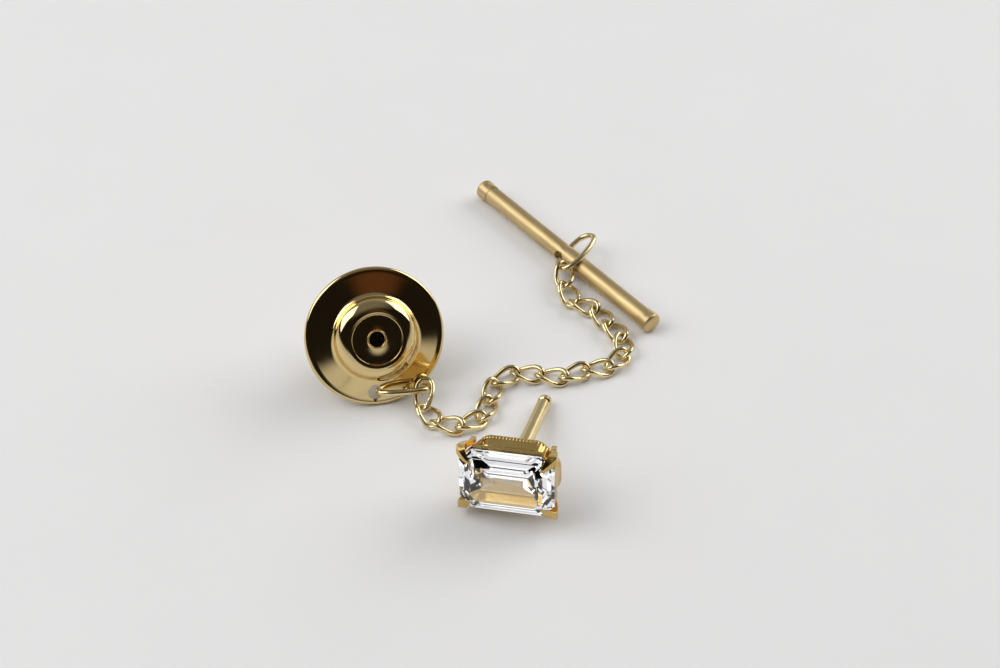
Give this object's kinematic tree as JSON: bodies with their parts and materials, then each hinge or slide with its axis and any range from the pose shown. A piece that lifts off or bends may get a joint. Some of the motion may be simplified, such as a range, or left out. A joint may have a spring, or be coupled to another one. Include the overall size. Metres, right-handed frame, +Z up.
{
  "type": "tie tack",
  "caption": "Tie tack with a step-cut stone on a grooved post, a domed pull-off clutch, a fine curb safety chain and a T-bar for a buttonhole.",
  "frame": {"origin": "centre of the footprint of the whole laid-out set, on the surface it lies on", "axes": "+Z up from that surface; +Y from the tack towards the clutch and the T-bar; +X to the right when the stone faces the viewer who looks along +Y"},
  "size_m": [0.0282, 0.0394, 0.0095],
  "materials": {
    "polished_gold_plate": "polished yellow gold plate",
    "chain_gold_plate": "diamond-cut yellow gold plate",
    "satin_gold_plate": "satin soft gold plate",
    "spring_steel": "plain hardened steel",
    "clear_stone": "polished step-cut facets"
  },
  "bodies": {
    "clutch_body": {"clutch_cap": "polished_gold_plate", "nose_plate": "polished_gold_plate", "housing": "polished_gold_plate", "cone_bushing": "spring_steel", "rear_cover": "polished_gold_plate", "knob_spring": "spring_steel"},
    "pull_group": {"ball_cage": "spring_steel", "pull_knob": "polished_gold_plate"},
    "lock_ball_1": {"lock_ball_1": "spring_steel"},
    "lock_ball_2": {"lock_ball_2": "spring_steel"},
    "lock_ball_3": {"lock_ball_3": "spring_steel"},
    "clutch_ring": {"clutch_ring": "chain_gold_plate"},
    "link_01": {"link_01": "chain_gold_plate"},
    "link_02": {"link_02": "chain_gold_plate"},
    "link_03": {"link_03": "chain_gold_plate"},
    "link_04": {"link_04": "chain_gold_plate"},
    "link_05": {"link_05": "chain_gold_plate"},
    "link_06": {"link_06": "chain_gold_plate"},
    "link_07": {"link_07": "chain_gold_plate"},
    "link_08": {"link_08": "chain_gold_plate"},
    "link_09": {"link_09": "chain_gold_plate"},
    "link_10": {"link_10": "chain_gold_plate"},
    "link_11": {"link_11": "chain_gold_plate"},
    "link_12": {"link_12": "chain_gold_plate"},
    "link_13": {"link_13": "chain_gold_plate"},
    "link_14": {"link_14": "chain_gold_plate"},
    "link_15": {"link_15": "chain_gold_plate"},
    "link_16": {"link_16": "chain_gold_plate"},
    "link_17": {"link_17": "chain_gold_plate"},
    "link_18": {"link_18": "chain_gold_plate"},
    "bar_ring": {"bar_ring": "chain_gold_plate"},
    "t_bar": {"t_bar": "satin_gold_plate", "bar_cap_near": "satin_gold_plate", "bar_cap_far": "satin_gold_plate"},
    "tack": {"stone": "clear_stone", "seat_rail": "polished_gold_plate", "setting_tray": "polished_gold_plate", "claw_upper_right": "polished_gold_plate", "claw_upper_left": "polished_gold_plate", "claw_lower_left": "polished_gold_plate", "claw_lower_right": "polished_gold_plate", "post_foot": "polished_gold_plate", "tack_post": "polished_gold_plate"}
  },
  "joints": [
    {"name": "knob_pull", "type": "slide", "parent": "clutch_body", "child": "pull_group", "axis": [-0.2064, 0.8277, -0.5218], "range_m": [0, 0.0008], "stiffness_N_per_m": 250, "springref_m": -0.0006, "deforming": ["knob_spring"]},
    {"name": "ball_1_slide", "type": "slide", "parent": "pull_group", "child": "lock_ball_1", "axis": [-0.1262, 0.5063, 0.8531], "range_m": [0, 0.000172]},
    {"name": "ball_2_slide", "type": "slide", "parent": "pull_group", "child": "lock_ball_2", "axis": [-0.7772, -0.4627, -0.4265], "range_m": [0, 0.000172]},
    {"name": "ball_3_slide", "type": "slide", "parent": "pull_group", "child": "lock_ball_3", "axis": [0.9034, -0.0436, -0.4265], "range_m": [0, 0.000172]},
    {"name": "clutch_ring_swing", "type": "hinge", "parent": "clutch_body", "child": "clutch_ring", "pos_m": [-0.00849, -0.00583, 0.00106], "axis": [0.2064, -0.8277, 0.5218], "range_deg": [-24, 8]},
    {"name": "link_01_hinge", "type": "hinge", "parent": "clutch_ring", "child": "link_01", "pos_m": [-0.00477, -0.00537, 0.00155], "axis": [0, 0, 1], "range_deg": [0, 18]},
    {"name": "link_02_hinge", "type": "hinge", "parent": "link_01", "child": "link_02", "pos_m": [-0.00498, -0.00702, 0.0005], "axis": [-0.8387, -0.5446, 0], "range_deg": [-6, 12]},
    {"name": "link_03_hinge", "type": "hinge", "parent": "link_02", "child": "link_03", "pos_m": [-0.00391, -0.00866, 0.0005], "axis": [0, 0, 1], "range_deg": [-12, 24]},
    {"name": "link_04_hinge", "type": "hinge", "parent": "link_03", "child": "link_04", "pos_m": [-0.00201, -0.00913, 0.0005], "axis": [-0.4848, 0.8746, 0], "range_deg": [-18, 6]},
    {"name": "link_05_hinge", "type": "hinge", "parent": "link_04", "child": "link_05", "pos_m": [-0.00029, -0.00818, 0.0005], "axis": [0, 0, 1], "range_deg": [-20, 18]},
    {"name": "link_06_hinge", "type": "hinge", "parent": "link_05", "child": "link_06", "pos_m": [0.00031, -0.00632, 0.0005], "axis": [0.9816, -0.1908, 0], "range_deg": [-6, 8]},
    {"name": "link_07_hinge", "type": "hinge", "parent": "link_06", "child": "link_07", "pos_m": [0.00069, -0.0044, 0.0005], "axis": [0, 0, 1], "range_deg": [-20, 17]},
    {"name": "link_08_hinge", "type": "hinge", "parent": "link_07", "child": "link_08", "pos_m": [0.00227, -0.00324, 0.0005], "axis": [0.1219, 0.9925, 0], "range_deg": [-18, 6]},
    {"name": "link_09_hinge", "type": "hinge", "parent": "link_08", "child": "link_09", "pos_m": [0.00422, -0.00348, 0.0005], "axis": [0, 0, 1], "range_deg": [-24, 8]},
    {"name": "link_10_hinge", "type": "hinge", "parent": "link_09", "child": "link_10", "pos_m": [0.00615, -0.00379, 0.0005], "axis": [0.4695, -0.8829, 0], "range_deg": [-6, 18]},
    {"name": "link_11_hinge", "type": "hinge", "parent": "link_10", "child": "link_11", "pos_m": [0.00788, -0.00287, 0.0005], "axis": [0, 0, 1], "range_deg": [-20, 10]},
    {"name": "link_12_hinge", "type": "hinge", "parent": "link_11", "child": "link_12", "pos_m": [0.00983, -0.00263, 0.0005], "axis": [-0.766, 0.6428, 0], "range_deg": [-18, 6]},
    {"name": "link_13_hinge", "type": "hinge", "parent": "link_12", "child": "link_13", "pos_m": [0.01109, -0.00113, 0.0005], "axis": [0, 0, 1], "range_deg": [-20, 8]},
    {"name": "link_14_hinge", "type": "hinge", "parent": "link_13", "child": "link_14", "pos_m": [0.01099, 0.00083, 0.0005], "axis": [0.8192, 0.5736, 0], "range_deg": [-6, 8]},
    {"name": "link_15_hinge", "type": "hinge", "parent": "link_14", "child": "link_15", "pos_m": [0.00986, 0.00243, 0.0005], "axis": [0, 0, 1], "range_deg": [-13, 8]},
    {"name": "link_16_hinge", "type": "hinge", "parent": "link_15", "child": "link_16", "pos_m": [0.00888, 0.00413, 0.0005], "axis": [-0.4384, -0.8988, 0], "range_deg": [-18, 6]},
    {"name": "link_17_hinge", "type": "hinge", "parent": "link_16", "child": "link_17", "pos_m": [0.00712, 0.00499, 0.0005], "axis": [0, 0, 1], "range_deg": [-8, 8]},
    {"name": "link_18_hinge", "type": "hinge", "parent": "link_17", "child": "link_18", "pos_m": [0.00642, 0.00681, 0.00074], "axis": [0.9998, -0.0175, 0], "range_deg": [-6, 11]},
    {"name": "bar_ring_hinge", "type": "hinge", "parent": "link_18", "child": "bar_ring", "pos_m": [0.00646, 0.00872, 0.00118], "axis": [0, 0, 1], "range_deg": [0, 30]},
    {"name": "t_bar_swivel", "type": "hinge", "parent": "bar_ring", "child": "t_bar", "pos_m": [0.00657, 0.01059, 0.00088], "axis": [0, 0, 1], "range_deg": [0, 8]},
    {"name": "tack_draw", "type": "slide", "parent": "clutch_body", "child": "tack", "axis": [-0.2588, -0.9659, 0], "range_m": [0, 0.012]}
  ],
  "couplings": [
    {"joint": "ball_1_slide", "follows": "knob_pull", "ratio": 0.21256},
    {"joint": "ball_2_slide", "follows": "knob_pull", "ratio": 0.21256},
    {"joint": "ball_3_slide", "follows": "knob_pull", "ratio": 0.21256}
  ]
}
